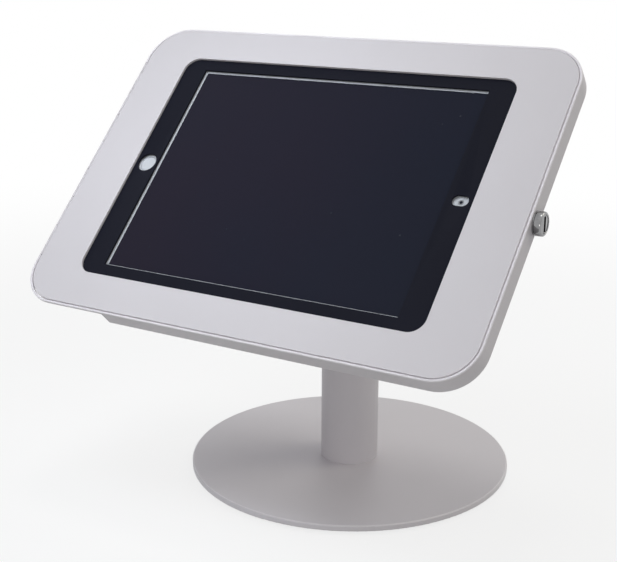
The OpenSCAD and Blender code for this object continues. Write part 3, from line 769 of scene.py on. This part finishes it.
def make_neck_weld():
    """Weld bead of overlapping drops round the tube, melted into one skin."""
    drops, ring, rise = 56, 20.6, -1.6
    deselect()
    bpy.ops.mesh.primitive_uv_sphere_add(segments=16, ring_count=10, radius=1 * MM)
    piece = begin("weld_bead")
    bpy.ops.transform.resize(value=(2.6, 1.5, 2.6), center_override=(0, 0, 0))
    bpy.ops.transform.rotate(value=math.radians(-45), orient_axis="Y", center_override=(0, 0, 0))
    shift(ring, 0, rise)
    for _ in range(1, drops):
        bpy.ops.mesh.duplicate()
        bpy.ops.transform.rotate(value=2 * math.pi / drops, orient_axis="Z", center_override=(0, 0, 0))
    close(piece)
    skin = piece.modifiers.new("skin", "REMESH")
    skin.mode = "VOXEL"
    skin.voxel_size = 0.42 * MM
    melt = piece.modifiers.new("melt", "SMOOTH")
    melt.factor = 0.5
    melt.iterations = 2
    apply_all(piece)
    settle(piece, FLANGE, "stand", "coat", "neck_weld")


def make_neck_flange():
    """Square plate with rolled edges and four drilled holes."""
    to_hole, hole_d, through = 37.5, 4.2, (-3.5, 8.5)
    piece = slab("case_flange", width=100, height=100, corner=8, low=0, thickness=FLANGE_T)
    round_sharp_edges(0.6)
    close(piece)
    cut(piece, *[rod(x * to_hole, y * to_hole, hole_d, *through, sides=40) for x, y in CORNERS])
    settle(piece, FLANGE, "stand", "coat", "neck_flange")


def make_foam_pads():
    """Two foam strips with soft edges, pressed flat between tray and tablet."""
    from_middle, level = 75, -11.55
    width, length, half = 24, 130, 0.95
    block(0, 0, width, length, -half, half)
    piece = begin("foam_strips")
    round_sharp_edges(0.55, 4)
    bpy.ops.mesh.select_all(action="SELECT")
    shift(-from_middle, 0, level)
    bpy.ops.mesh.duplicate()
    shift(2 * from_middle, 0, 0)
    settle(piece, CASE, "stand", "foam", "foam_pads")


def make_base_pad():
    """Rubber disc with ribs between the grooves in its underside."""
    first, last, pitch = 12, 96, 12
    profile = [(0, 0)]
    for r in range(first, last + 1, pitch):
        profile += [(r, 0), (r + 0.6, 0.5), (r + 2.4, 0.5), (r + 3, 0)]
    profile += [(100.5, 0), (101, 0.4), (101, 1.1), (100.6, 1.5), (0, 1.5)]
    piece = spun("grip_pad", profile, 128)
    settle(piece, UPRIGHT, "stand", "rubber", "base_pad")


for make in (make_faceplate, make_bezel_mask, make_home_button, make_mask_nuts, make_corner_blocks,
             make_strike_tab, make_lock_cam, make_lock_body, make_lock_plug, make_neck_weld,
             make_neck_flange, make_foam_pads, make_base_pad):
    make()
deselect()


# Studio

WHITE = (1, 1, 1, 1)
SKY_LIGHT, AMBIENT = (0.96, 0.98, 1, 1), 0.352
FLOOR_RADIUS = 30


def seen_directly(f):
    """1 where the background is looked at, also in metal or through glass; 0 where it lights."""
    camera_ray, glossy_ray, clear_ray = [
        f.node("ShaderNodeLightPath", output="Is %s Ray" % kind)
        for kind in ("Camera", "Glossy", "Transmission")]
    return f.math("MAXIMUM", f.math("MAXIMUM", camera_ray, glossy_ray), clear_ray)


def grey_paper(f, grain, dark, light):
    """Matt paper between two greys."""
    colour = f.ramp(grain, (0.3, [dark] * 3), (0.7, [light] * 3))
    return f.node("ShaderNodeBsdfDiffuse", {}, {"Color": colour})


sky = Finish("sky", bpy.data.worlds.new("sky"))
bpy.context.scene.world = sky.material
white_back = sky.node("ShaderNodeBackground", {}, {"Color": WHITE, "Strength": 1.0})
soft_back = sky.node("ShaderNodeBackground", {}, {"Color": SKY_LIGHT, "Strength": AMBIENT})
backdrop = sky.mixed(seen_directly(sky), soft_back, white_back)
sky.node("ShaderNodeOutputWorld", {}, {"Surface": backdrop})

bpy.ops.mesh.primitive_circle_add(vertices=96, radius=FLOOR_RADIUS, fill_type="NGON")
floor = bpy.context.object
floor.name = "floor"
paper = Finish("floor_paper")
grain = paper.noise(scale=0.7, detail=3)
dim = grey_paper(paper, grain, 0.44, 0.48)
pale = grey_paper(paper, grain, 0.82, 0.86)
glow = paper.node("ShaderNodeEmission", {}, {"Color": WHITE, "Strength": 1.0})
fade = paper.step(paper.length(paper.place()), 0.25, 1.1, start=0.78)
surface = paper.mixed(seen_directly(paper), dim, paper.mixed(fade, pale, glow))
paper.node("ShaderNodeOutputMaterial", {}, {"Surface": surface})
dress(floor, paper.material)


def soft_lamp(name, place, aim, size, power, tint, glint, spread):
    """Round soft box that isn't seen itself; spread is the angle of its beam, in degrees."""
    bpy.ops.object.light_add(type="AREA", location=place)
    lamp = bpy.context.object
    lamp.name = name
    lamp.data.shape = "DISK"
    lamp.data.size = size
    lamp.data.energy = power
    lamp.data.color = tint
    lamp.data.spread = math.radians(spread)
    lamp.visible_camera = False
    lamp.visible_glossy = glint
    lamp.rotation_euler = (Vector(aim) - Vector(place)).to_track_quat("-Z", "Y").to_euler()


COOL, WARM, PLAIN = (0.87, 0.93, 1), (1, 0.96, 0.91), (1, 1, 1)
# Name, place, aim, size, power, tint, whether it glints in metal and glass, and the angle of its beam
LAMPS = (
    ("key_lamp", (-0.37, -0.44, 0.87), (-0.02, -0.07, 0.2), 0.5, 1.84, COOL, False, 180),
    ("near_lamp", (-0.12, -0.27, 0.58), (-0.04, -0.09, 0.19), 0.2, 0.135, COOL, False, 75),
    ("overhead_lamp", (0.05, -0.02, 2.2), (0, 0, 0.1), 0.5, 6.1, (1, 0.995, 0.945), True, 180),
    ("top_lamp", (0.75, 0.6, 1.0), (0, 0, 0.1), 0.8, 3.15, (1, 0.955, 0.82), True, 180),
    ("front_lamp", (0.62, -1.1, 0.17), (0, -0.02, 0.06), 0.3, 1.62, WARM, True, 180),
    ("back_lamp", (-0.45, 1.3, 0.27), (0, 0, 0.16), 0.5, 4, PLAIN, False, 180),
)
for lamp in LAMPS:
    soft_lamp(*lamp)

# The camera stands where the photograph was taken from
CAMERA_AT = (0.3711, -0.6511, 0.3408)
CAMERA_ROLL = math.radians(0.13)
SENSOR, LENS = 36, 69.67
right = Vector((0.84972, 0.52727, 0.0)).normalized()
forward = Vector((-0.50698, 0.81702, -0.27483)).normalized()
aim = Matrix((right, right.cross(forward), -forward)).transposed()
bpy.ops.object.camera_add()
camera = bpy.context.object
roll = Matrix.Rotation(CAMERA_ROLL, 3, "Z")
camera.matrix_world = Matrix.Translation(CAMERA_AT) @ (aim @ roll).to_4x4()
camera.data.sensor_fit = "HORIZONTAL"
camera.data.sensor_width = SENSOR
camera.data.lens = LENS
bpy.context.scene.camera = camera
bpy.context.scene.view_settings.view_transform = "Standard"
